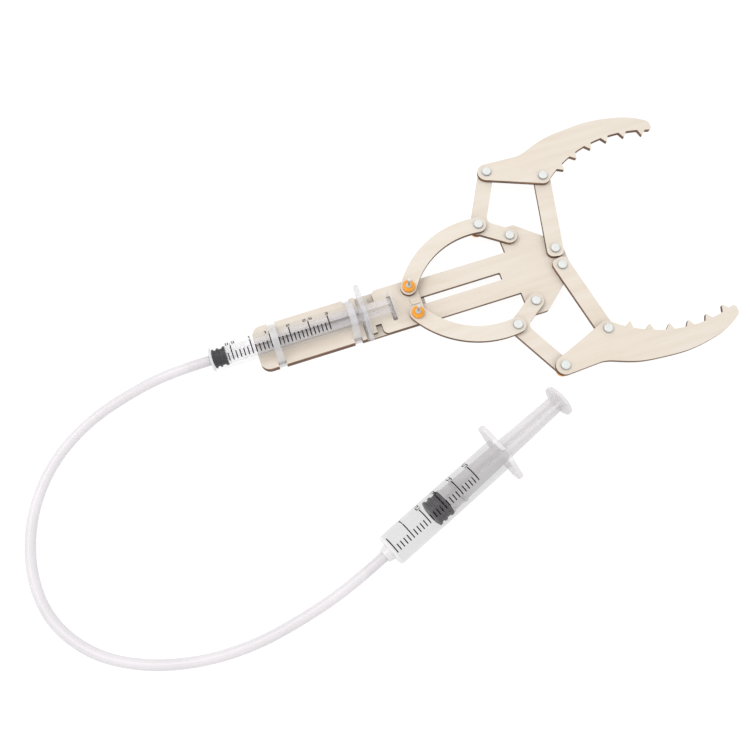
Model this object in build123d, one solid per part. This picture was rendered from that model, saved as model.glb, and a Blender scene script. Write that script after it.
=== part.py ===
from build123d import *
import os
from math import cos, sin, tan, radians, sqrt, atan2, degrees

# Hydraulic gripper arm kit: laser-cut plywood linkage, two syringes and a tube.
# The arm lies flat and works along X.  The design frame has its X axis on the
# arm's centre line and x = 0 at the slider pins; every node is shifted by
# ORIGIN_X and ORIGIN_Y when it is written, so that the origin is the middle
# of the footprint of the arm and the two syringes.  Millimetres, +Z up.
# "left" is the +Y side, "right" the -Y side.

ORIGIN_X = 15.92
ORIGIN_Y = -23.96

# --- plywood and its layers ---------------------------------------------------
PLY = 2.0                 # thickness of every laser-cut sheet
GAP = 0.1                 # air between sheets that slide on each other
Z_BASE = 3.6              # underside of the base plate
Z_LOW = Z_BASE + PLY + GAP          # slider, cranks and front links
Z_HIGH = Z_LOW + PLY + GAP          # push links and jaws
Z_TOP = Z_HIGH + PLY                # face that the upper pin heads sit on
BASE_TOP = Z_BASE + PLY

# --- linkage pivots, left side, arm fully open -------------------------------------
SLIDER_PIN = (0.0, 6.4)
CRANK_PIVOT = (52.0, 16.7)
ELBOW = (39.8, 25.4)
JAW_REAR = (52.6, 49.3)
JAW_FRONT = (76.6, 39.4)
LINK_PIVOT = (69.4, 4.3)
CRANK_HALF = 3.5          # half width of the crank's two arms
PUSH_HALF = 3.6           # half width of the curved push link
PUSH_SAGITTA = 6.6        # how far the push link bows away from its chord
LINK_HALF = 3.8           # half width of the straight front link
ROUND_A = 4.1             # round of the jaw about its rear pin
ROUND_B = 3.8             # round of the jaw about its front pin

# --- pins and caps --------------------------------------------------------------
SHANK_R = 1.25
HOLE_R = SHANK_R + 0.07   # running fit
HEAD_R = 2.1
HEAD_H = 1.3
CAP_R = 2.8
CAP_H = 2.0
TIP_LEN = 1.6
LOOSE_CAP_Z = 2.0         # underside of the caps that hang below the cranks and links
LOOSE_TIP_Z = 0.3
TAIL_LEN = 6.6            # thin tail left standing on each slider pin

# --- base plate ---------------------------------------------------------------
BASE_LEFT = -72.3
BASE_HALF = 10.3
SHOULDER_X = 47.8
HEAD_HALF = 22.0
HEAD_CORNER_X = 56.2
HEAD_RIGHT = 73.8
NOSE_HALF = 6.9
SLOT_LEFT = -7.7
SLOT_RIGHT = 42.0
SLOT_HALF = 1.8
TIE_X = (-63.2, -28.5)    # the two cable ties
BAND_W = 3.0
NOTCH_W = 3.4
NOTCH_D = 1.8
RAIL_RIGHT = -24.6        # end of the cradle rails, just short of the flange
RAIL_INNER = 2.55         # half of the gap that the barrel lies in

# --- slider ---------------------------------------------------------------------
SLIDER_HALF = 10.6
SLIDER_RIGHT = 3.8
SLIDER_BODY_LEFT = -16.6
SLIDER_NECK_LEFT = -19.4
SLIDER_LEFT = -21.6
SLIDER_NECK_HALF = 5.4
TAB_HALF = 8.7
DISC_SLOT_X = (-10.9, -9.0)
DISC_SLOT_HALF = 5.9
KEY_X = (-5.0, 3.1)
KEY_TENON_X = (-1.2, 3.1)
KEY_HALF = 1.45
KEEPER_X = (-8.0, 6.0)
KEEPER_HALF = 7.0

# --- syringes -------------------------------------------------------------------
# The slave is a 3 ml syringe and the master a 5 ml one.
STROKE = 20.9             # travel of the slave plunger and the slider
SLAVE_BORE = 4.25
SLAVE_R = 5.45
MASTER_BORE = 6.0
MASTER_R = 7.2
END_WALL = 0.8
FLANGE_T = 2.0
DISC_T = 1.5
LUER_LEN = 10.0
SLAVE_Z = Z_LOW + PLY + 4.75
SLAVE_SHOULDER = -92.1
SLAVE_LENGTH = 70.1       # shoulder to the far face of the finger flange
SLAVE_FRONT = 0.9         # shoulder to the tip of the seal, plunger right in
SLAVE_DISC = 81.35        # shoulder to the near face of the thumb disc
SLAVE_DISC_R = 6.1
SLAVE_ROLL = 15.0
SLAVE_HUB = (2.4, 2.4, 0.5)         # radius at the shoulder, radius at the tube, length
SLAVE_WING = (12.8, 3.4)            # reach of the finger flange and round of its ends
SLAVE_RIBS = (3.85, 3.5)            # half width of the ribs at the seal and at the disc
MASTER_SHOULDER = (-44.4, -100.5)
MASTER_Z = 8.0
MASTER_ANGLE = 23.0
MASTER_LENGTH = 63.3
MASTER_FRONT = 22.3       # drawn out
MASTER_DISC = 95.8
MASTER_DISC_R = 7.3
MASTER_ROLL = 20.0
MASTER_HUB = (3.75, 3.1, 3.0)
MASTER_WING = (14.1, 3.9)
MASTER_RIBS = (5.3, 3.7)

# --- pressure tube ----------------------------------------------------------------
TUBE_R = 2.25
TUBE_BORE_R = 1.3
SLEEVE_LEN = 8.0
SLAVE_SLEEVE_R = 2.4
MASTER_SLEEVE_R = 3.1
TUBE_ROUTE = [
    (-92.6, 0.0, 12.45), (-110.5, 0.0, 12.45), (-130.5, -1.5, 6.0), (-151.0, -7.0, 2.9),
    (-169.8, -19.8, 2.35), (-182.6, -38.8, 2.35), (-187.9, -61.0, 2.35), (-184.8, -83.0, 2.35),
    (-171.2, -101.5, 2.35), (-151.0, -112.9, 2.35), (-127.7, -118.3, 2.35), (-106.0, -118.3, 2.4),
    (-88.0, -115.0, 3.4), (-73.5, -111.6, 6.0), (-59.4, -106.87, 8.0), (-47.16, -101.67, 8.0),
]


# --- small helpers ------------------------------------------------------------------

def save(name, *solids):
    """Writes one node, shifted into the part's own frame."""
    moved = [Pos(-ORIGIN_X, -ORIGIN_Y, 0) * s for s in solids]
    shape = moved[0] if len(moved) == 1 else Compound(children=moved)
    export_step(shape, f"parts/{name}.step")


def right(shape):
    """The mirror image on the -Y side."""
    return mirror(shape, about=Plane.XZ)


def save_pair(name, shape):
    """One node for each side."""
    save(f"{name}_left", shape)
    save(f"{name}_right", right(shape))


def sheet(face, bottom, thickness=PLY):
    """A flat sheet cut to an outline."""
    return extrude(Pos(0, 0, bottom) * face, thickness)


def hole(point, bottom, radius=HOLE_R, height=PLY):
    """A round hole right through a sheet."""
    return Pos(point[0], point[1], bottom + height / 2) * Cylinder(radius, 3 * height)


def block(x, y, z):
    """A box between two x, two y and two z values."""
    size = [b - a for a, b in (x, y, z)]
    centre = [(a + b) / 2 for a, b in (x, y, z)]
    return Pos(*centre) * Box(*size)


def distance(a, b):
    return sqrt((b[0] - a[0]) ** 2 + (b[1] - a[1]) ** 2)


def heading(a, b):
    return degrees(atan2(b[1] - a[1], b[0] - a[0]))


def bar(a, b, half):
    """A straight arm with round ends about two points."""
    middle = Pos((a[0] + b[0]) / 2, (a[1] + b[1]) / 2)
    return middle * Rot(0, 0, heading(a, b)) * SlotCenterToCenter(distance(a, b), 2 * half)


def cone(r_bottom, r_top, height):
    """A cone or cylinder standing on the origin."""
    return Pos(0, 0, height / 2) * Cone(r_bottom, r_top, height)


def rod(radius, height):
    """A cylinder standing on the origin."""
    return Pos(0, 0, height / 2) * Cylinder(radius, height)


# --- plywood parts --------------------------------------------------------------------

def tie_notches(bottom):
    """Cutters for the notches that the cable ties sit in."""
    cutters = []
    for x in TIE_X:
        for side in (-1, 1):
            middle = side * (BASE_HALF - NOTCH_D + 5)
            cutters.append(block((x - NOTCH_W / 2, x + NOTCH_W / 2), (middle - 5, middle + 5),
                                 (bottom - 1, bottom + PLY + 1)))
    return cutters


def base_plate():
    """Long neck with a six-sided head that carries the four fixed pivots."""
    points = [(BASE_LEFT, BASE_HALF), (SHOULDER_X, BASE_HALF), (SHOULDER_X, HEAD_HALF),
              (HEAD_CORNER_X, HEAD_HALF), (HEAD_RIGHT, NOSE_HALF)]
    outline = points + [(x, -y) for x, y in reversed(points)]
    face = make_face(Polyline(*outline, close=True))
    rounds = [(BASE_LEFT, 4.2), (HEAD_CORNER_X, 2.0), (HEAD_RIGHT, 1.5)]
    for x, radius in rounds:
        face = fillet([v for v in face.vertices() if abs(v.X - x) < 0.01], radius)
    shoulder = [v for v in face.vertices() if abs(v.X - SHOULDER_X) < 0.01 and abs(v.Y) > HEAD_HALF - 1]
    face = fillet(shoulder, 3.0)
    slot = Pos((SLOT_LEFT + SLOT_RIGHT) / 2, 0) * RectangleRounded(SLOT_RIGHT - SLOT_LEFT,
                                                                   2 * SLOT_HALF, 0.7)
    plate = sheet(face - slot, Z_BASE)
    for x, y in (CRANK_PIVOT, LINK_PIVOT):
        plate -= hole((x, y), Z_BASE)
        plate -= hole((x, -y), Z_BASE)
    for cutter in tie_notches(Z_BASE):
        plate -= cutter
    return plate


def cradle_rail():
    """One of the two strips that the slave barrel lies between, left side."""
    length = RAIL_RIGHT - BASE_LEFT
    face = Pos(BASE_LEFT + length / 2, (BASE_HALF + RAIL_INNER) / 2) * Rectangle(
        length, BASE_HALF - RAIL_INNER)
    corner = face.vertices().sort_by_distance((BASE_LEFT, BASE_HALF, 0))[0]
    rail = sheet(fillet(corner, 4.2), BASE_TOP)
    for cutter in tie_notches(BASE_TOP):
        rail -= cutter
    return rail


def slider_plate():
    """Sheet that the slave plunger pushes: a slot for its disc, two pins, a T-shaped tail."""
    body = [(SLIDER_LEFT, TAB_HALF), (SLIDER_NECK_LEFT, TAB_HALF),
            (SLIDER_NECK_LEFT, SLIDER_NECK_HALF), (SLIDER_BODY_LEFT, SLIDER_NECK_HALF),
            (SLIDER_BODY_LEFT, SLIDER_HALF), (SLIDER_RIGHT, SLIDER_HALF)]
    outline = body + [(x, -y) for x, y in reversed(body)]
    face = make_face(Polyline(*outline, close=True))
    corners = [v for v in face.vertices() if abs(abs(v.Y) - SLIDER_HALF) < 0.01]
    face = fillet(corners, 2.2)
    disc_slot = Pos(sum(DISC_SLOT_X) / 2, 0) * RectangleRounded(DISC_SLOT_X[1] - DISC_SLOT_X[0],
                                                                 2 * DISC_SLOT_HALF, 0.5)
    plate = sheet(face - disc_slot, Z_LOW)
    plate -= block(KEY_TENON_X, (-KEY_HALF, KEY_HALF), (Z_LOW - 1, Z_LOW + PLY + 1))
    pocket = HEAD_R + 0.2
    for side in (-1, 1):
        point = (SLIDER_PIN[0], side * SLIDER_PIN[1])
        plate -= hole(point, Z_LOW, SHANK_R + 0.02)
        plate -= Pos(point[0], point[1], Z_LOW) * rod(pocket, 1.1)
    return plate


def slider_key():
    """Upright key that runs in the base slot, with a tenon up and a tenon down."""
    key = block(KEY_X, (-KEY_HALF, KEY_HALF), (Z_BASE - GAP, Z_LOW))
    key += block(KEY_TENON_X, (-KEY_HALF, KEY_HALF), (Z_LOW, Z_LOW + PLY + 0.3))
    key += block(KEY_TENON_X, (-KEY_HALF, KEY_HALF), (Z_BASE - GAP - PLY, Z_BASE - GAP))
    return key


def slider_keeper():
    """Small sheet under the base that keeps the key in its slot."""
    face = Pos(sum(KEEPER_X) / 2, 0) * RectangleRounded(KEEPER_X[1] - KEEPER_X[0],
                                                        2 * KEEPER_HALF, 1.5)
    plate = sheet(face, Z_BASE - GAP - PLY)
    return plate - block(KEY_TENON_X, (-KEY_HALF, KEY_HALF), (0, Z_BASE))


def crank():
    """Bell crank: fixed pivot, elbow and jaw pin."""
    face = bar(CRANK_PIVOT, ELBOW, CRANK_HALF) + bar(ELBOW, JAW_REAR, CRANK_HALF)
    face += Pos(*ELBOW) * Circle(CRANK_HALF + 0.5)
    inner = [v for v in face.vertices() if v.X > ELBOW[0] + 2 and abs(v.Y - ELBOW[1]) < 5]
    face = fillet(inner, 3.0)
    plate = sheet(face, Z_LOW)
    for point in (CRANK_PIVOT, ELBOW, JAW_REAR):
        plate -= hole(point, Z_LOW)
    return plate


def push_link():
    """Curved link from the slider pin to the crank's elbow."""
    chord = distance(SLIDER_PIN, ELBOW)
    radius = (chord ** 2 / 4 + PUSH_SAGITTA ** 2) / (2 * PUSH_SAGITTA)
    half_angle = degrees(atan2(chord / 2, radius - PUSH_SAGITTA))
    centre = (chord / 2, PUSH_SAGITTA - radius)
    outer = CenterArc(centre, radius + PUSH_HALF, 90 - half_angle, 2 * half_angle)
    inner = CenterArc(centre, radius - PUSH_HALF, 90 - half_angle, 2 * half_angle)
    lean = radians(half_angle)
    far_tip = (chord + PUSH_HALF * cos(lean), -PUSH_HALF * sin(lean))
    near_tip = (-PUSH_HALF * cos(lean), -PUSH_HALF * sin(lean))
    far_end = ThreePointArc(outer @ 0, far_tip, inner @ 0)
    near_end = ThreePointArc(outer @ 1, near_tip, inner @ 1)
    face = make_face([outer, near_end, inner, far_end])
    placed = Pos(*SLIDER_PIN) * Rot(0, 0, heading(SLIDER_PIN, ELBOW)) * face
    plate = sheet(placed, Z_HIGH)
    return plate - hole(SLIDER_PIN, Z_HIGH) - hole(ELBOW, Z_HIGH)


def front_link():
    """Straight link with squared, softly rounded ends."""
    length = distance(LINK_PIVOT, JAW_FRONT) + 2 * LINK_HALF
    middle = Pos((LINK_PIVOT[0] + JAW_FRONT[0]) / 2, (LINK_PIVOT[1] + JAW_FRONT[1]) / 2)
    face = middle * Rot(0, 0, heading(LINK_PIVOT, JAW_FRONT)) * RectangleRounded(
        length, 2 * LINK_HALF, 2.8)
    plate = sheet(face, Z_LOW)
    return plate - hole(LINK_PIVOT, Z_LOW) - hole(JAW_FRONT, Z_LOW)


def jaw_outline():
    """Smooth back, gum arc with six teeth, and rounds about the two pins."""
    along = radians(heading(JAW_REAR, JAW_FRONT))
    normal = (sin(along), -cos(along))
    rear_low = (JAW_REAR[0] + ROUND_A * normal[0], JAW_REAR[1] + ROUND_A * normal[1])
    front_low = (JAW_FRONT[0] + ROUND_B * normal[0], JAW_FRONT[1] + ROUND_B * normal[1])
    rear_top = (JAW_REAR[0] + 0.2, JAW_REAR[1] + ROUND_A)
    rear_tip = (JAW_REAR[0] - ROUND_A * cos(along / 2), JAW_REAR[1] - ROUND_A * sin(along / 2))
    back_start = (67.9, 52.6)
    nose = (134.4, 48.5)
    chin = (132.8, 46.4)
    gum_start = (79.6, 37.3)
    gum_middle = (107.5, 49.1)
    round_b_mid = (JAW_FRONT[0] + 0.6, JAW_FRONT[1] - ROUND_B + 0.05)
    gum = ThreePointArc(gum_start, gum_middle, chin)
    edges = [
        ThreePointArc(rear_low, rear_tip, rear_top),
        Line(rear_top, back_start),
        Spline(back_start, (74.8, 54.3), (83.7, 57.3), (94.6, 58.8), (107.0, 59.3), (118.4, 57.7),
               (127.3, 55.0), (132.4, 52.1), nose, tangents=((1, 0.02), (-0.1, -1))),
        ThreePointArc(nose, (134.1, 47.1), chin),
        gum,
        ThreePointArc(gum_start, round_b_mid, front_low),
        Line(front_low, rear_low),
    ]
    face = make_face(edges)
    first, last, height, half = 0.133, 0.935, 3.0, 2.2
    for i in range(6):
        t = first + (last - first) * i / 5
        root = gum @ t
        lean = gum % t
        down = Vector(lean.Y, -lean.X)
        tooth = Polyline(root - lean * half - down * 0.6, root + down * height,
                         root + lean * half - down * 0.6, close=True)
        face += make_face(tooth)
    tips = [v for v in face.vertices() if is_tooth_tip(v, gum, height)]
    return fillet(tips, 0.35)


def is_tooth_tip(vertex, gum, height):
    """True for the corners that stand a full tooth away from the gum arc."""
    centre = gum.arc_center
    reach = sqrt((vertex.X - centre.X) ** 2 + (vertex.Y - centre.Y) ** 2)
    return abs(gum.radius - reach - height) < 0.1


def jaw():
    plate = sheet(jaw_outline(), Z_HIGH)
    return plate - hole(JAW_REAR, Z_HIGH) - hole(JAW_FRONT, Z_HIGH)


# --- pins and caps ----------------------------------------------------------------------

def domed_head(radius=HEAD_R, height=HEAD_H):
    """Low button head standing on the origin."""
    head = rod(radius, height)
    return fillet(head.edges().sort_by(Axis.Z)[-1], 0.55)


def pin(point, head_z, tip_z):
    """Button-headed pin pushed in from above, with a pointed tip."""
    shank = rod(SHANK_R, head_z - tip_z - TIP_LEN)
    tip = mirror(cone(SHANK_R, 0.35, TIP_LEN), about=Plane.XY)
    body = Pos(0, 0, tip_z + TIP_LEN) * (shank + tip)
    return Pos(point[0], point[1], 0) * (body + Pos(0, 0, head_z) * domed_head())


def cap(point, bottom):
    """Soft rubber cap pressed over a pin, left open at both ends."""
    ring = rod(CAP_R, CAP_H)
    ring = fillet(ring.edges().group_by(Axis.Z)[-1] + ring.edges().group_by(Axis.Z)[0], 0.45)
    ring -= Pos(0, 0, -1) * rod(SHANK_R + 0.01, CAP_H + 2)
    return Pos(point[0], point[1], bottom) * ring


def upper_half_pin(point):
    """Head and short shank that turn with the upper sheet of an open pivot."""
    return Pos(point[0], point[1], 0) * (Pos(0, 0, Z_HIGH) * rod(SHANK_R, PLY + 0.2)
                                         + Pos(0, 0, Z_TOP + 0.05) * domed_head())


def lower_half_pin(point, tip_z):
    """Short shank and pointed tip that turn with the lower sheet of an open pivot."""
    shank = rod(SHANK_R, Z_LOW + PLY - tip_z - TIP_LEN)
    tip = mirror(cone(SHANK_R, 0.35, TIP_LEN), about=Plane.XY)
    return Pos(point[0], point[1], tip_z + TIP_LEN) * (shank + tip)


def slider_pin():
    """Pin pushed up through the slider: flat head in its pocket, thin tail on top."""
    top = Z_TOP + 0.05 + CAP_H
    low = Z_LOW + 0.05
    profile = [(0, low), (HEAD_R, low), (HEAD_R, low + 1.0), (SHANK_R, low + 1.0), (SHANK_R, top + 0.2),
               (0.55, top + 1.1), (0.5, top + 4.0), (0.85, top + 5.2), (0.8, top + TAIL_LEN - 0.4),
               (0.4, top + TAIL_LEN), (0, top + TAIL_LEN)]
    face = make_face(Plane.XZ * Polyline(*profile, close=True))
    return Pos(SLIDER_PIN[0], SLIDER_PIN[1], 0) * revolve(face, Axis.Z)


# --- cable ties ---------------------------------------------------------------------------

def tie_loop(grow):
    """Outline round the barrel and the two sheets, seen along X, grown outward."""
    half = BASE_HALF - NOTCH_D + 0.05 + grow
    low = Z_BASE - 0.05 - grow
    corner = (half, Z_LOW + PLY)
    radius = SLAVE_R + 0.05 + grow
    reach = distance(corner, (0, SLAVE_Z))
    swing = degrees(atan2(sqrt(reach ** 2 - radius ** 2), radius))
    angle = radians(heading((0, SLAVE_Z), corner) + swing)
    touch = (radius * cos(angle), SLAVE_Z + radius * sin(angle))
    edges = [
        Line((-half, low), (half, low)),
        Line((half, low), corner),
        Line(corner, touch),
        ThreePointArc(touch, (0, SLAVE_Z + radius), (-touch[0], touch[1])),
        Line((-touch[0], touch[1]), (-corner[0], corner[1])),
        Line((-corner[0], corner[1]), (-half, low)),
    ]
    return make_face(edges)


def cable_tie(x):
    """Band round barrel and base, with its ratchet head underneath."""
    profile = tie_loop(0.9) - tie_loop(0)
    band = extrude(Plane((x - BAND_W / 2, 0, 0), x_dir=(0, 1, 0), z_dir=(1, 0, 0)) * profile, BAND_W)
    head = block((x - 2.4, x + 2.4), (-2.6, 2.6), (0, Z_BASE - 0.5))
    head = fillet(head.edges().filter_by(Axis.Z), 0.8)
    tail = block((x - BAND_W / 2, x + BAND_W / 2), (2.4, 7.6), (1.6, 2.5))
    return band + head + tail


# --- syringes: built along +X from the barrel's shoulder, axis on X ---------------------------

def lathe(points):
    """Solid of revolution about X from points (x, radius)."""
    face = make_face(Polyline(*points, close=True))
    return revolve(face, Axis.X)


def barrel(length, bore_r, outer_r, hub, wing, roll):
    """Barrel with hub, luer tip and a winged finger flange."""
    tube_end = length - FLANGE_T
    hub_r, hub_end_r, hub_len = hub
    body = lathe([(0, 0), (0, outer_r - 0.8), (0.8, outer_r), (tube_end + 0.5, outer_r),
                  (tube_end + 0.5, 0)])
    cone_hub = lathe([(-hub_len, 0), (-hub_len, hub_end_r), (0, hub_r), (0.2, hub_r), (0.2, 0)])
    luer = lathe([(-hub_len - LUER_LEN, 0), (-hub_len - LUER_LEN, 1.85), (-hub_len + 0.1, 2.05),
                  (-hub_len + 0.1, 0)])
    reach, wing_r = wing
    wings = make_hull(Circle(outer_r).edges()
                      + (Pos(reach - wing_r, 0) * Circle(wing_r)).edges()
                      + (Pos(wing_r - reach, 0) * Circle(wing_r)).edges())
    flange = extrude(Plane((tube_end, 0, 0), x_dir=(0, 1, 0), z_dir=(1, 0, 0)) * wings, FLANGE_T)
    flange = fillet(flange.edges().filter_by(GeomType.LINE, reverse=True), 0.3)
    bore = lathe([(END_WALL, 0), (END_WALL, bore_r), (length + 1, bore_r), (length + 1, 0)])
    tip = -hub_len - LUER_LEN
    duct = lathe([(tip - 1, 0), (tip - 1, 1.0), (END_WALL + 0.5, 1.0), (END_WALL + 0.5, 0)])
    return body + cone_hub + luer + Rot(roll, 0, 0) * flange - bore - duct


def seal_length(bore_r):
    return 6.2 * seal_scale(bore_r)


def seal_scale(bore_r):
    """The bigger seal is longer, but not by as much as it is wider."""
    return sqrt(sqrt(bore_r / SLAVE_BORE)) ** 3


def seal(front, bore_r):
    """Black rubber piston seal with three rings and a shallow cone."""
    ring = bore_r - 0.05
    groove = ring - 0.6
    socket = 0.38 * bore_r
    profile = [(0, 0), (0, ring - 1.6), (0.35, ring - 0.4), (0.45, ring), (1.15, ring), (1.45, groove),
               (2.35, groove), (2.6, ring), (3.3, ring), (3.6, groove), (4.95, groove), (5.2, ring),
               (6.2, ring), (6.2, socket), (2.4, socket), (2.4, 0)]
    return lathe([(front + seal_scale(bore_r) * x, r) for x, r in profile])


def rib_blade(near_x, far_x, ribs):
    """Thin blade along the X axis that narrows towards the thumb disc."""
    near, far = ribs
    outline = Polyline((near_x, near), (far_x, far), (far_x, -far), (near_x, -near), close=True)
    return extrude(Pos(0, 0, -0.6) * make_face(outline), 1.2)


def plunger(front, disc_x, bore_r, ribs, disc_r, roll):
    """Cross-ribbed plunger with a nose for the seal and a thumb disc."""
    scale = seal_scale(bore_r)
    back = front + seal_length(bore_r)
    nose_r = 0.38 * bore_r - 0.05
    collar_r = bore_r - 0.3
    nose = lathe([(front + 2.4 * scale + 0.05, 0), (front + 2.4 * scale + 0.05, nose_r), (back + 0.5, nose_r),
                  (back + 0.5, 0)])
    collar = lathe([(back + 0.05, 0), (back + 0.05, collar_r), (back + 1.1, collar_r), (back + 1.1, 0)])
    second = lathe([(back + 7.0, 0), (back + 7.0, collar_r), (back + 8.0, collar_r), (back + 8.0, 0)])
    blade = rib_blade(back + 0.6, disc_x + 0.5, ribs)
    cross = blade + Rot(90, 0, 0) * blade
    disc = Pos(disc_x + DISC_T / 2, 0, 0) * Rot(0, 90, 0) * Cylinder(disc_r, DISC_T)
    disc = fillet(disc.edges(), 0.4)
    return nose + collar + second + Rot(roll, 0, 0) * cross + disc


def place_slave(shape):
    return Pos(SLAVE_SHOULDER, 0, SLAVE_Z) * shape


def place_master(shape):
    return Pos(MASTER_SHOULDER[0], MASTER_SHOULDER[1], MASTER_Z) * Rot(0, 0, MASTER_ANGLE) * shape


# --- pressure tube ------------------------------------------------------------------------------

def route_radii(points):
    """The largest even arc at each corner of the route."""
    radii = []
    for before, here, after in zip(points, points[1:], points[2:]):
        run_in = Vector(*here) - Vector(*before)
        run_out = Vector(*after) - Vector(*here)
        turn = radians(run_in.get_angle(run_out))
        radii.append(0.45 * min(run_in.length, run_out.length) / tan(turn / 2))
    return radii


def sleeve(end, towards, flare_r):
    """Stretched end of the tube, over a luer tip."""
    axis = Vector(*towards) - Vector(*end)
    return Plane(origin=end, z_dir=axis) * cone(flare_r, TUBE_R + 0.06, SLEEVE_LEN)


def luer_core(end, towards):
    """Space that the luer tip fills inside the sleeve."""
    axis = Vector(*towards) - Vector(*end)
    depth = LUER_LEN + 0.02
    cutter = cone(2.06, 1.86, depth)
    return Plane(origin=end, z_dir=axis) * cutter


def pressure_tube():
    radii = route_radii(TUBE_ROUTE)
    path = FilletPolyline(*TUBE_ROUTE, radius=radii)
    start = Plane(origin=path @ 0, z_dir=path % 0)
    section = start * (Circle(TUBE_R) - Circle(TUBE_BORE_R))
    tube = sweep(section, path=path)
    area = section.area
    print("tube radii", [round(r, 1) for r in radii])
    print("tube length", round(path.length, 1), "volume", round(tube.volume, 1),
          "section x length", round(area * path.length, 1))
    ends = ((TUBE_ROUTE[0], TUBE_ROUTE[1], SLAVE_SLEEVE_R), (TUBE_ROUTE[-1], TUBE_ROUTE[-2], MASTER_SLEEVE_R))
    for end, towards, flare_r in ends:
        tube = tube + sleeve(end, towards, flare_r)
        tube = tube - luer_core(end, towards)
    return tube


# --- the whole kit ----------------------------------------------------------------------------------

def build():
    os.makedirs("parts", exist_ok=True)
    pair = (1, -1)

    save("base_plate", base_plate())
    rail = cradle_rail()
    save_pair("cradle_rail", rail)
    save("cable_tie_rear", cable_tie(TIE_X[0]))
    save("cable_tie_front", cable_tie(TIE_X[1]))

    save("crank_pivot_pins", *[pin((CRANK_PIVOT[0], s * CRANK_PIVOT[1]), Z_LOW + PLY + 0.05, 0)
                               for s in pair])
    save("crank_pivot_caps", *[cap((CRANK_PIVOT[0], s * CRANK_PIVOT[1]), Z_BASE - CAP_H)
                               for s in pair])
    save("link_pivot_pins", *[pin((LINK_PIVOT[0], s * LINK_PIVOT[1]), Z_LOW + PLY + 0.05, 0)
                              for s in pair])
    save("link_pivot_caps", *[cap((LINK_PIVOT[0], s * LINK_PIVOT[1]), Z_BASE - CAP_H)
                              for s in pair])

    save("slider_plate", slider_plate())
    save("slider_key", slider_key())
    save("slider_keeper", slider_keeper())
    save("slider_pins", slider_pin(), right(slider_pin()))
    save("slider_caps", *[cap((SLIDER_PIN[0], s * SLIDER_PIN[1]), Z_TOP + 0.05) for s in pair])

    save_pair("crank", crank())
    save_pair("push_link", push_link())
    save_pair("front_link", front_link())
    save_pair("jaw", jaw())

    save_pair("elbow_pin", upper_half_pin(ELBOW))
    save_pair("elbow_tip", lower_half_pin(ELBOW, LOOSE_TIP_Z))
    save_pair("elbow_cap", cap(ELBOW, LOOSE_CAP_Z))
    save_pair("jaw_rear_pin", pin(JAW_REAR, Z_TOP + 0.05, LOOSE_TIP_Z))
    save_pair("jaw_rear_cap", cap(JAW_REAR, LOOSE_CAP_Z))
    save_pair("jaw_front_pin", upper_half_pin(JAW_FRONT))
    save_pair("jaw_front_tip", lower_half_pin(JAW_FRONT, LOOSE_TIP_Z))
    save_pair("jaw_front_cap", cap(JAW_FRONT, LOOSE_CAP_Z))

    save("slave_barrel", place_slave(barrel(SLAVE_LENGTH, SLAVE_BORE, SLAVE_R, SLAVE_HUB, SLAVE_WING,
                                            SLAVE_ROLL)))
    save("slave_seal", place_slave(seal(SLAVE_FRONT, SLAVE_BORE)))
    save("slave_plunger", place_slave(plunger(SLAVE_FRONT, SLAVE_DISC, SLAVE_BORE, SLAVE_RIBS,
                                              SLAVE_DISC_R, 0)))
    save("master_barrel", place_master(barrel(MASTER_LENGTH, MASTER_BORE, MASTER_R, MASTER_HUB,
                                              MASTER_WING, MASTER_ROLL)))
    save("master_seal", place_master(seal(MASTER_FRONT, MASTER_BORE)))
    save("master_plunger", place_master(plunger(MASTER_FRONT, MASTER_DISC, MASTER_BORE, MASTER_RIBS,
                                                MASTER_DISC_R, MASTER_ROLL)))

    save("pressure_tube", pressure_tube())


build()
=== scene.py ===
from collections import namedtuple
from math import cos, pi, radians, sin

import bmesh
import bpy
from mathutils import Matrix, Vector


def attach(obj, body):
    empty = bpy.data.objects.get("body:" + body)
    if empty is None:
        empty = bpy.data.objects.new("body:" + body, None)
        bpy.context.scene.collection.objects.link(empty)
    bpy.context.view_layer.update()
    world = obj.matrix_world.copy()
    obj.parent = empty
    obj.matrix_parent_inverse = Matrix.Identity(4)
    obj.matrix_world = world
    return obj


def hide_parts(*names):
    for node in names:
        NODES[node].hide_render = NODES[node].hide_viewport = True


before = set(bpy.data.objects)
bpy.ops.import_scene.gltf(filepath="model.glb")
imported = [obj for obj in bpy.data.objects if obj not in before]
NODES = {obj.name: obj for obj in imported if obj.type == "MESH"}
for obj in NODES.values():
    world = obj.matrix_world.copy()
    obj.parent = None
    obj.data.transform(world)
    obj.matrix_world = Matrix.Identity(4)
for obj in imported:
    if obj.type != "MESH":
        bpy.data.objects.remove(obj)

# Hydraulic gripper arm kit: looks for the plywood, the syringes, the tube, the ties and the pins.
# Places are millimetres in the arm's design frame, whose x = 0 is at the slider pins and whose
# X axis is the arm's centre line. mm() turns them into metres in the part's frame.

MM = 0.001
ORIGIN = Vector((15.92, -23.96, 0.0))      # the part's origin, in the design frame
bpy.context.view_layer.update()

# shoulder: where the barrel starts; height: of its axis; heading: in degrees from +X;
# radius: outside the barrel; flange: distance from the shoulder to the finger flange
Syringe = namedtuple("Syringe", "shoulder height heading radius flange")
SLAVE = Syringe((-92.1, 0.0), 12.45, 0.0, 5.45, 67.9)
MASTER = Syringe((-44.4, -100.5), 8.0, 23.0, 7.2, 61.2)


def mm(x, y, z):
    """A point of the design frame, in metres in the part's frame."""
    return (Vector((x, y, z)) - ORIGIN) * MM


def place_in_scene(name, data):
    """A new object in the scene for a mesh, a curve, a lamp or a camera."""
    thing = bpy.data.objects.new(name, data)
    bpy.context.collection.objects.link(thing)
    return thing


# --- camera ---------------------------------------------------------------------------------------

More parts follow.
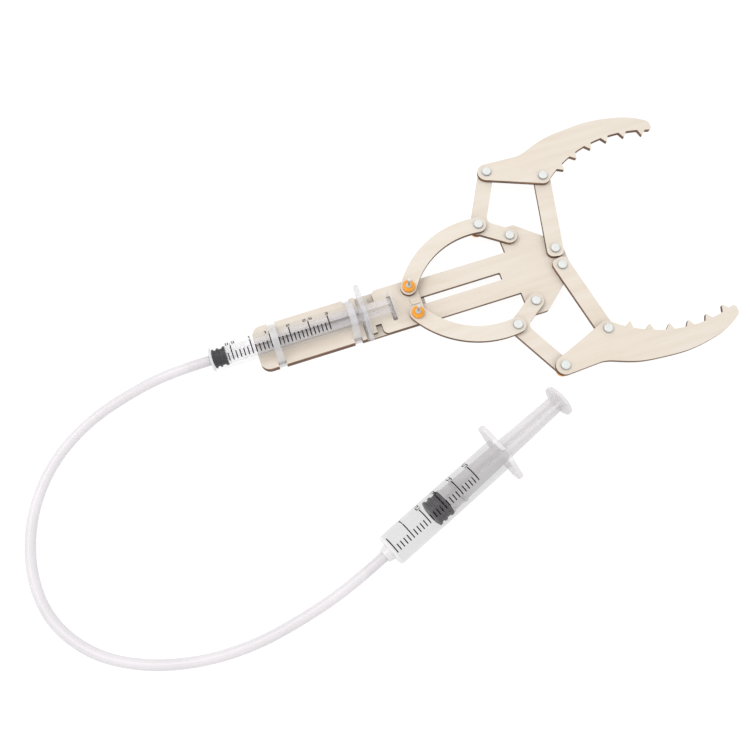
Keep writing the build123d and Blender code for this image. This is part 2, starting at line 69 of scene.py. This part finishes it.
def make_camera():
    azimuth, elevation = radians(-18.26), radians(73.19)
    target = mm(-26.01, -24.81, 0)
    distance = 0.3979
    right = Vector((cos(azimuth), sin(azimuth), 0))
    level = Vector((-sin(azimuth), cos(azimuth), 0))
    forward = level * cos(elevation) - Vector((0, 0, sin(elevation)))
    up = right.cross(forward)
    optics = bpy.data.cameras.new("camera")
    optics.sensor_width = 36.0
    optics.lens = 43.2
    optics.clip_start = 0.01
    camera = place_in_scene("camera", optics)
    turn = Matrix((right, up, -forward)).transposed().to_4x4()
    camera.matrix_world = Matrix.Translation(target - forward * distance) @ turn
    bpy.context.scene.camera = camera


# --- material helpers -----------------------------------------------------------------------------

class Nodes:
    """A material's node tree with short ways to add and link nodes."""

    def __init__(self, name, roughness=0.5, colour=(0.8, 0.8, 0.8)):
        self.material = bpy.data.materials.new(name)
        self.material.use_nodes = True
        self.tree = self.material.node_tree
        self.shader = self.tree.nodes["Principled BSDF"]
        self.set("Base Color", (*colour, 1))
        self.set("Roughness", roughness)

    def put(self, socket, value):
        """Links an output into a socket, or sets the socket's own value."""
        if isinstance(value, bpy.types.NodeSocket):
            self.tree.links.new(value, socket)
        else:
            socket.default_value = value

    def set(self, name, value):
        """Links or sets one of the shader's inputs."""
        self.put(self.shader.inputs[name], value)

    def add(self, kind, **inputs):
        """A new node; the inputs' names have underscores for spaces."""
        node = self.tree.nodes.new(kind)
        for name, value in inputs.items():
            self.put(node.inputs[name.replace("_", " ")], value)
        return node

    def maths(self, operation, *values):
        node = self.add("ShaderNodeMath")
        node.operation = operation
        for socket, value in zip(node.inputs, values):
            self.put(socket, value)
        return node.outputs[0]

    def ramp(self, factor, *stops):
        """Colour ramp from (position, (r, g, b)) stops."""
        node = self.add("ShaderNodeValToRGB", Fac=factor)
        elements = node.color_ramp.elements
        while len(elements) < len(stops):
            elements.new(0.5)
        for element, (position, colour) in zip(elements, stops):
            element.position = position
            element.color = (*colour, 1)
        return node.outputs["Color"]

    def mix(self, factor, a, b, blend="MIX"):
        node = self.add("ShaderNodeMix")
        node.data_type = "RGBA"
        node.blend_type = blend
        self.put(node.inputs["Factor"], factor)
        self.put(node.inputs[6], a)            # sockets 6 and 7 are the colours A and B
        self.put(node.inputs[7], b)
        return node.outputs[2]

    def position(self, scale=(1, 1, 1), turn=0.0, shift=(0, 0, 0)):
        """Object position, scaled, turned about Z and shifted."""
        coordinates = self.add("ShaderNodeTexCoord")
        mapping = self.add("ShaderNodeMapping", Vector=coordinates.outputs["Object"], Scale=scale,
                           Rotation=(0, 0, turn), Location=shift)
        return mapping.outputs["Vector"]

    def noise(self, vector, scale, detail=3.0, roughness=0.5):
        node = self.add("ShaderNodeTexNoise", Vector=vector, Scale=scale, Detail=detail,
                        Roughness=roughness)
        return node.outputs["Fac"]

    def height(self, vector):
        """The Z part of a vector."""
        return self.add("ShaderNodeSeparateXYZ", Vector=vector).outputs["Z"]

    def levelness(self):
        """1 where the surface lies level, 0 where it stands upright."""
        normal = self.add("ShaderNodeNewGeometry").outputs["Normal"]
        return self.maths("ABSOLUTE", self.height(normal))

    def bump(self, height, strength, distance):
        node = self.add("ShaderNodeBump", Height=height, Strength=strength, Distance=distance)
        self.set("Normal", node.outputs["Normal"])


# --- materials ------------------------------------------------------------------------------------

SHEET = 2.0                                # thickness of the plywood, mm
EDGE_LEVELNESS = 0.6                       # cut edges are steeper than this, and bevels are not
WHITE = (1.0, 1.0, 1.0)


def plywood_face(n, grain_angle, shift, place):
    """Cream veneer with faint bands and fibres along the grain."""
    stretched = n.position(scale=(1, 14, 1), turn=grain_angle, shift=shift)
    fibres = n.noise(stretched, 160.0, 5.0, 0.65)
    bands = n.noise(stretched, 20.0, 3.0)
    cloud = n.noise(place, 16.0, 2.0)
    cream = n.ramp(bands, (0.30, (0.610, 0.550, 0.472)), (0.5, (0.635, 0.580, 0.506)),
                   (0.72, (0.650, 0.603, 0.538)))
    fine = n.ramp(fibres, (0.3, (0.98, 0.972, 0.96)), (0.62, WHITE))
    tint = n.ramp(cloud, (0.35, (0.99, 0.965, 0.945)), (0.65, WHITE))
    n.bump(fibres, 0.15, 0.00004)
    return n.mix(1.0, n.mix(1.0, cream, fine, "MULTIPLY"), tint, "MULTIPLY")


def plywood_edge(n, bottom, place):
    """Laser-burnt edge: dark at both faces, with the paler middle veneer between them."""
    above = n.maths("SUBTRACT", n.height(n.position()), bottom * MM)
    level = n.maths("DIVIDE", above, SHEET * MM)
    soot = n.noise(place, 380.0, 3.0)
    wander = n.maths("ADD", level, n.maths("MULTIPLY", n.maths("SUBTRACT", soot, 0.5), 0.2))
    veneers = n.ramp(wander, (0.0, (0.030, 0.013, 0.008)), (0.24, (0.060, 0.026, 0.014)),
                     (0.42, (0.24, 0.125, 0.065)), (0.62, (0.29, 0.15, 0.075)),
                     (0.82, (0.17, 0.078, 0.034)), (1.0, (0.055, 0.024, 0.012)))
    burn = n.ramp(n.noise(place, 55.0, 2.0), (0.38, (0.62, 0.56, 0.52)), (0.62, WHITE))
    return n.mix(1.0, veneers, burn, "MULTIPLY")


def plywood(name, grain_angle, shift, bottom):
    """Bare basswood ply, with faint grain and burnt edges; bottom is its underside's height."""
    n = Nodes(name, roughness=0.7)
    place = n.position(turn=grain_angle, shift=shift)
    cut_edge = n.maths("LESS_THAN", n.levelness(), EDGE_LEVELNESS)
    face = plywood_face(n, grain_angle, shift, place)
    n.set("Base Color", n.mix(cut_edge, face, plywood_edge(n, bottom, place)))
    return n.material


def clear_plastic(name, alpha, tint, roughness=0.14):
    """Thin milky plastic that what lies behind shows through."""
    n = Nodes(name, roughness=roughness, colour=tint)
    n.set("Alpha", alpha)
    n.set("IOR", 1.45)
    cloud = n.noise(n.position(), 60.0, 2.0)
    n.set("Base Color", n.ramp(cloud, (0.3, tuple(0.95 * c for c in tint)), (0.7, tint)))
    return n.material


def black_rubber():
    n = Nodes("seal_rubber", roughness=0.45)
    n.set("Specular IOR Level", 0.25)
    dust = n.noise(n.position(), 500.0, 4.0)
    n.set("Base Color", n.ramp(dust, (0.3, (0.006, 0.006, 0.008)), (0.75, (0.016, 0.016, 0.020))))
    n.bump(dust, 0.15, 0.00004)
    return n.material


def orange_rubber():
    n = Nodes("cap_rubber", roughness=0.45)
    skin = n.noise(n.position(), 700.0)
    n.set("Base Color", n.ramp(skin, (0.3, (0.72, 0.265, 0.006)), (0.7, (0.80, 0.335, 0.014))))
    n.set("Subsurface Weight", 0.15)
    n.set("Subsurface Radius", (0.8, 0.3, 0.1))
    n.set("Subsurface Scale", 0.002)
    n.bump(skin, 0.2, 0.00004)
    return n.material


def white_nylon():
    """Painted shade: white on top, greyer where the surface turns away from the light."""
    n = Nodes("pin_nylon", roughness=0.3)
    skin = n.noise(n.position(), 600.0, 2.0)
    white = n.ramp(skin, (0.3, (0.60, 0.61, 0.60)), (0.7, (0.65, 0.665, 0.65)))
    # painted shade: the upright sides of a pin are made greyer than its level top
    painted_shade = n.ramp(n.levelness(), (0.25, (0.50, 0.50, 0.52)), (0.9, WHITE))
    n.set("Base Color", n.mix(1.0, white, painted_shade, "MULTIPLY"))
    n.bump(skin, 0.08, 0.00003)
    return n.material


def ink():
    n = Nodes("scale_ink", roughness=0.8)
    n.set("Specular IOR Level", 0.1)
    wear = n.noise(n.position(), 1500.0, 2.0)
    n.set("Base Color", n.ramp(wear, (0.3, (0.003, 0.003, 0.004)), (0.8, (0.012, 0.012, 0.014))))
    return n.material


# --- floor and light ------------------------------------------------------------------------------

FLOOR_SIZE = 4.0                           # metres
FLOOR_DROP = 0.0002                        # the floor lies this far under the part, metres
# name, place in metres, size in metres, power in watts
LAMPS = (("key", (-0.35, 0.25, 0.75), 0.5, 3.2), ("fill", (0.5, -0.5, 0.7), 0.6, 1.2))


def make_floor():
    """White paper that glows a little, so that shadows on it stay faint."""
    bpy.ops.mesh.primitive_plane_add(size=FLOOR_SIZE, location=(0, 0, -FLOOR_DROP))
    floor = bpy.context.object
    floor.name = "floor"
    n = Nodes("floor_paper", roughness=0.9)
    fibre = n.noise(n.position(), 60.0, 2.0)
    n.set("Base Color", n.ramp(fibre, (0.3, (0.16, 0.16, 0.16)), (0.7, (0.18, 0.18, 0.18))))
    n.set("Emission Color", (*WHITE, 1))
    n.set("Emission Strength", 0.86)
    floor.data.materials.append(n.material)


def make_light():
    """An even white surround and two soft lamps that face the part."""
    world = bpy.data.worlds.new("studio")
    bpy.context.scene.world = world
    world.use_nodes = True
    background = world.node_tree.nodes["Background"]
    background.inputs["Color"].default_value = (*WHITE, 1)
    background.inputs["Strength"].default_value = 0.95
    for name, place, size, power in LAMPS:
        lamp = bpy.data.lights.new(name, "AREA")
        lamp.size = size
        lamp.energy = power
        thing = place_in_scene(name, lamp)
        thing.location = place
        thing.rotation_euler = (-Vector(place)).to_track_quat("-Z", "Y").to_euler()
    bpy.context.scene.view_settings.view_transform = "Standard"


# --- pressure tube --------------------------------------------------------------------------------

TUBE_RADIUS = 2.25                         # mm
TUBE_ROUTE = [
    (-92.6, 0.0, 12.45), (-110.5, 0.0, 12.45), (-130.5, -1.5, 6.0), (-151.0, -7.0, 2.9),
    (-169.8, -19.8, 2.35), (-182.6, -38.8, 2.35), (-187.9, -61.0, 2.35), (-184.8, -83.0, 2.35),
    (-171.2, -101.5, 2.35), (-151.0, -112.9, 2.35), (-127.7, -118.3, 2.35), (-106.0, -118.3, 2.4),
    (-88.0, -115.0, 3.4), (-73.5, -111.6, 6.0), (-59.4, -106.87, 8.0), (-47.16, -101.67, 8.0),
]


def make_tube():
    """Soft tube from one luer tip to the other, on one smooth curve."""
    data = bpy.data.curves.new("pressure_tube_skin", "CURVE")
    data.dimensions = "3D"
    data.bevel_depth = TUBE_RADIUS * MM
    data.bevel_resolution = 8
    data.resolution_u = 24
    data.use_fill_caps = True
    spline = data.splines.new("NURBS")
    spline.points.add(len(TUBE_ROUTE) - 1)
    for point, place in zip(spline.points, TUBE_ROUTE):
        point.co = (*mm(*place), 1.0)
    spline.order_u = 3
    spline.use_endpoint_u = True
    data.materials.append(clear_plastic("tube_plastic", 0.72, (0.72, 0.69, 0.71), 0.3))
    tube = place_in_scene("pressure_tube_skin", data)
    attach(tube, "root")
    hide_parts("pressure_tube")


# --- barrels --------------------------------------------------------------------------------------

# in mm, along the barrel from its shoulder or out from its axis
INNER_START = 0.3                          # the inner wall lies past this
INNER_DEPTH = 0.6                          # and at least this far under the outer one
FLANGE_REACH = 1.0                         # the inner wall ends this far past the flange's near side
TIP_BORE = 1.3                             # faces nearer to the axis belong to the tip's bore
MILKY_SHOULDER = 0.9                       # length of the milky stretch at the shoulder


def barrel_skin(node, syringe, wall, ends):
    """The barrel's outer skin alone: clear along the wall, milkier at the shoulder and flange."""
    mesh = NODES[node].data.copy()
    mesh.materials.clear()
    for material in (wall, ends):
        mesh.materials.append(material)
    skin = place_in_scene(node + "_skin", mesh)
    skin.matrix_world = NODES[node].matrix_world
    start = mm(*syringe.shoulder, syringe.height)
    heading = radians(syringe.heading)
    direction = Vector((cos(heading), sin(heading), 0))
    shape = bmesh.new()
    shape.from_mesh(mesh)
    inside = []
    for face in shape.faces:
        offset = (skin.matrix_world @ face.calc_center_median() - start) / MM
        along = offset.dot(direction)
        reach = (offset - along * direction).length
        in_barrel = INNER_START < along < syringe.flange + FLANGE_REACH
        if (in_barrel and reach < syringe.radius - INNER_DEPTH) or reach < TIP_BORE:
            inside.append(face)
        face.material_index = int(along < MILKY_SHOULDER or along > syringe.flange)
    bmesh.ops.delete(shape, geom=inside, context="FACES")
    shape.to_mesh(mesh)
    shape.free()
    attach(skin, "root")
    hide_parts(node)


# --- scale marks ----------------------------------------------------------------------------------

INK_LIFT = 0.03                            # height of the print above the barrel, mm
MARK_WIDTH, MARK_STEPS = 0.5, 12           # width in mm and flat pieces of a line round the barrel
STROKE_WIDTH, STROKE_STEPS = 0.4, 4        # the same for a pen stroke
SPACES = 5                                 # short marks divide a labelled step into this many
SIGN_WIDTH, SIGN_ADVANCE = 0.6, 0.8        # a sign's width and the step to the next, for height 1
# pen strokes of each sign, in a box SIGN_WIDTH wide and 1 high
STROKES = {
    "0": [[(0, 0), (0.6, 0), (0.6, 1), (0, 1), (0, 0)]],
    "1": [[(0.3, 0), (0.3, 1), (0.1, 0.75)]],
    "2": [[(0, 1), (0.6, 1), (0.6, 0.5), (0, 0.5), (0, 0), (0.6, 0)]],
    "3": [[(0, 1), (0.6, 1), (0.6, 0), (0, 0)], [(0.15, 0.5), (0.6, 0.5)]],
    "4": [[(0, 1), (0, 0.45), (0.6, 0.45)], [(0.6, 1), (0.6, 0)]],
    "5": [[(0.6, 1), (0, 1), (0, 0.5), (0.6, 0.5), (0.6, 0), (0, 0)]],
    ".": [[(0.3, 0), (0.3, 0.15)]],
}


class Print:
    """Black print on one barrel, as thin strips that follow its wall."""

    def __init__(self, syringe):
        self.syringe = syringe
        self.degrees_per_mm = 180 / (pi * syringe.radius)
        self.vertices, self.faces = [], []

    def point(self, along, around):
        """A point on the barrel: mm from the shoulder, and degrees from the top towards -Y."""
        x, y = self.syringe.shoulder
        turn, angle = radians(self.syringe.heading), radians(around)
        reach = self.syringe.radius + INK_LIFT
        side, top = -reach * sin(angle), reach * cos(angle)
        return mm(x + along * cos(turn) - side * sin(turn),
                  y + along * sin(turn) + side * cos(turn), self.syringe.height + top)

    def strip(self, rungs):
        """A strip of quads, where each rung is a pair of points on its two sides."""
        for index, rung in enumerate(rungs):
            if index:
                first = len(self.vertices) - 2
                self.faces.append((first, first + 1, first + 3, first + 2))
            self.vertices += rung

    def mark(self, along, start, end):
        """One line round the barrel, from one angle to another."""
        sides = (along - MARK_WIDTH / 2, along + MARK_WIDTH / 2)
        angles = [start + (end - start) * i / MARK_STEPS for i in range(MARK_STEPS + 1)]
        self.strip([[self.point(side, around) for side in sides] for around in angles])

    def stroke(self, start, end, foot):
        """A straight pen stroke in short pieces, so that it follows the barrel.

        Its ends are given in mm along the barrel and in mm up round it from the angle foot.
        """
        start, end = Vector(start), Vector(end)
        cap = (end - start).normalized() * STROKE_WIDTH / 2
        across = Vector((-cap.y, cap.x))
        start, end = start - cap, end + cap
        rungs = []
        for i in range(STROKE_STEPS + 1):
            middle = start.lerp(end, i / STROKE_STEPS)
            rungs.append([self.point(side.x, foot - side.y * self.degrees_per_mm)
                          for side in (middle - across, middle + across)])
        self.strip(rungs)

    def numeral(self, text, along, foot, height):
        """A number that reads along the barrel, with its middle at along and its foot at foot."""
        advance = SIGN_ADVANCE * height
        left = along - (advance * (len(text) - 1) + SIGN_WIDTH * height) / 2
        for index, sign in enumerate(text):
            for line in STROKES[sign]:
                points = [(left + advance * index + height * x, height * y) for x, y in line]
                for start, end in zip(points, points[1:]):
                    self.stroke(start, end, foot)

    def show(self, name):
        """Makes the print a piece of its own, fixed with the barrel."""
        mesh = bpy.data.meshes.new(name)
        mesh.from_pydata(self.vertices, [], self.faces)
        mesh.materials.append(ink())
        piece = place_in_scene(name, mesh)
        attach(piece, "root")


def make_scale(name, syringe, labels, first, spacing, long_mark, short_mark, foot, height, before):
    """The printed scale of one barrel, with a long mark at each label.

    The first long mark is at first and the others follow at spacing, in mm. long_mark and
    short_mark are the angles where a mark starts and ends. The numbers stand at the angle foot
    and are height mm high. An empty label has a mark but no number. before is how many short
    marks come before the first long one.
    """
    scale = Print(syringe)
    step = spacing / SPACES
    for index, label in enumerate(labels):
        along = first + index * spacing
        scale.mark(along, *long_mark)
        scale.numeral(label, along, foot, height)
        if index + 1 < len(labels):
            for k in range(1, SPACES):
                scale.mark(along + k * step, *short_mark)
    for k in range(1, before + 1):
        scale.mark(first - k * step, *short_mark)
    scale.show(name)


# --- the CAD pieces -------------------------------------------------------------------------------

EDGE_ROUNDING = 0.05                       # width of the bevel on a sheet's corners, mm
# each sheet's grain direction in radians and the height of its underside in mm
SHEETS = {
    "base_plate": (0.0, 3.6), "cradle_rail_left": (0.0, 5.6), "cradle_rail_right": (0.0, 5.6),
    "slider_plate": (0.04, 5.7), "slider_key": (0.0, 3.5), "slider_keeper": (0.0, 1.5),
    "crank_left": (0.9, 5.7), "crank_right": (-0.9, 5.7),
    "push_link_left": (0.35, 7.8), "push_link_right": (-0.35, 7.8),
    "front_link_left": (1.37, 5.7), "front_link_right": (-1.37, 5.7),
    "jaw_left": (0.2, 7.8), "jaw_right": (-0.2, 7.8),
}


def paint(node, material):
    """Gives a CAD node one material."""
    materials = NODES[node].data.materials
    materials.clear()
    materials.append(material)


def soften(node):
    """Narrow rounded edges, so that a sheet's corners catch the light."""
    bevel = NODES[node].modifiers.new("edge", "BEVEL")
    bevel.width = EDGE_ROUNDING * MM
    bevel.segments = 2
    bevel.limit_method = "ANGLE"
    bevel.angle_limit = radians(40)
    bevel.harden_normals = True


def dress_plywood():
    for index, (node, (grain, bottom)) in enumerate(SHEETS.items()):
        shift = (0.37 * index, 0.21 * index, 0.0)      # so that no two sheets look alike
        paint(node, plywood("plywood_" + node, -grain, shift, bottom))
        soften(node)


def dress_syringes():
    """The barrels get their skins, the plungers and the seals their materials."""
    barrel_skin("slave_barrel", SLAVE, clear_plastic("slave_wall", 0.07, (0.52, 0.51, 0.54)),
                clear_plastic("slave_ends", 0.45, (0.66, 0.65, 0.67)))
    barrel_skin("master_barrel", MASTER, clear_plastic("master_wall", 0.22, (0.31, 0.295, 0.305)),
                clear_plastic("master_ends", 0.62, (0.72, 0.70, 0.715)))
    paint("slave_plunger", clear_plastic("slave_plunger_plastic", 0.24, (0.72, 0.70, 0.72)))
    paint("master_plunger", clear_plastic("master_plunger_plastic", 0.60, (0.69, 0.665, 0.68)))
    rubber = black_rubber()
    paint("slave_seal", rubber)
    paint("master_seal", rubber)


def dress_fastenings():
    """Rubber caps, nylon pins and cable ties, found by their names."""
    nylon, orange = white_nylon(), orange_rubber()
    tie = clear_plastic("tie_nylon", 0.42, (0.72, 0.71, 0.72), 0.3)
    for node in NODES:
        if "_cap" in node:
            paint(node, orange)
        elif "_pin" in node or "_tip" in node:
            paint(node, nylon)
        elif node.startswith("cable_tie"):
            paint(node, tie)


# --- all of it ------------------------------------------------------------------------------------

make_camera()
make_floor()
make_light()
make_tube()
dress_plywood()
dress_syringes()
dress_fastenings()
make_scale("slave_scale", SLAVE, ("0.5", "1", "1.5", "2", "2.5", "3"), first=9.9, spacing=8.65,
           long_mark=(-23, 48), short_mark=(10, 47), foot=-30, height=1.7, before=1)
make_scale("master_scale", MASTER, ("", "1", "2", "3", "4", "5"), first=1.6, spacing=8.9,
           long_mark=(-38, 24), short_mark=(0, 24), foot=-42, height=2.6, before=0)
